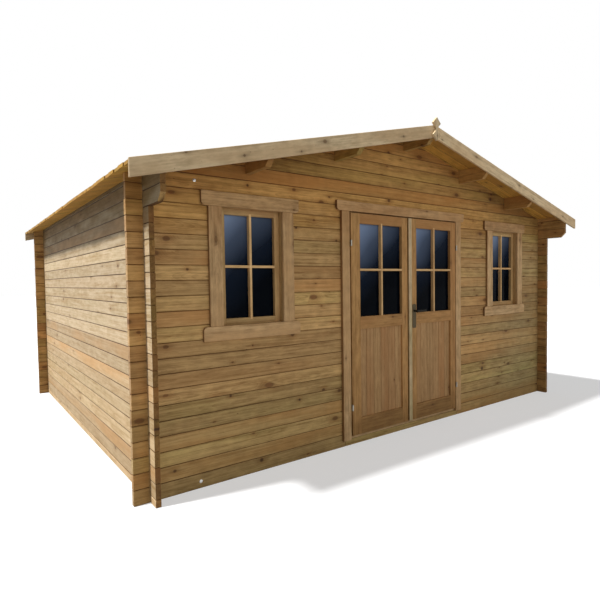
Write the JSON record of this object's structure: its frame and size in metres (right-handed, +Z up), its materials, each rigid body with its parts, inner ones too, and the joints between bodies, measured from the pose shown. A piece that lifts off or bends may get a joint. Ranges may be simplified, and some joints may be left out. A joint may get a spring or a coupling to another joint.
{
  "type": "garden shed",
  "caption": "Timber garden shed of interlocking wall logs with a low gable roof, double glazed-top doors and small-paned front windows.",
  "frame": {"origin": "centre of the building's bounding box, on the floor", "axes": "+Z up, -Y out of the door front, +X to the right seen from the front"},
  "size_m": [5, 4.339, 2.6749],
  "materials": {
    "log_timber": "planed, pressure-treated softwood",
    "purlin_timber": "planed softwood",
    "deck_boards": "planed softwood boards",
    "barge_timber": "planed, slightly weathered softwood",
    "joinery_timber": "smooth planed softwood",
    "door_timber": "smooth planed softwood",
    "window_glass": "clear float glass",
    "hinge_steel": "zinc-plated steel",
    "lock_metal": "dark bronze lacquer"
  },
  "bodies": {
    "shed": {"front_wall_left": "log_timber", "front_wall_right": "log_timber", "front_gable": "log_timber", "front_sill_log": "log_timber", "back_wall": "log_timber", "left_side_wall": "log_timber", "right_side_wall": "log_timber", "left_wall_plates": "log_timber", "right_wall_plates": "log_timber", "ridge_purlin": "purlin_timber", "side_purlins": "purlin_timber", "roof_deck_left": "deck_boards", "roof_deck_right": "deck_boards", "barge_boards_left": "barge_timber", "barge_boards_right": "barge_timber", "finials": "barge_timber", "door_frame": "joinery_timber", "door_threshold": "joinery_timber", "door_side_casings": "joinery_timber", "door_head_casing": "joinery_timber", "window_boxes": "joinery_timber", "window_sash_left": "joinery_timber", "window_sash_right": "joinery_timber", "window_side_casings": "joinery_timber", "window_head_casings": "joinery_timber", "window_sill_casings": "joinery_timber", "window_glass_left": "window_glass", "window_glass_right": "window_glass", "frame_hinges": "hinge_steel"},
    "left_door": {"door_leaf_left": "door_timber", "door_panel_left": "door_timber", "door_glass_left": "window_glass", "door_hinges_left": "hinge_steel"},
    "right_door": {"door_leaf_right": "door_timber", "door_panel_right": "door_timber", "door_glass_right": "window_glass", "door_hinges_right": "hinge_steel", "door_astragal": "door_timber", "lock_plates": "lock_metal"},
    "lever": {"lever_handle": "lock_metal"}
  },
  "joints": [
    {"name": "left_door_swing", "type": "hinge", "parent": "shed", "child": "left_door", "pos_m": [-0.684, -1.8635, 1], "axis": [0, 0, -1], "range_deg": [0, 105]},
    {"name": "right_door_swing", "type": "hinge", "parent": "shed", "child": "right_door", "pos_m": [0.684, -1.8635, 1], "axis": [0, 0, 1], "range_deg": [0, 105]},
    {"name": "lever_turn", "type": "hinge", "parent": "right_door", "child": "lever", "pos_m": [0.075, -1.8535, 1.062], "axis": [0, 1, 0], "range_deg": [0, 40]}
  ]
}
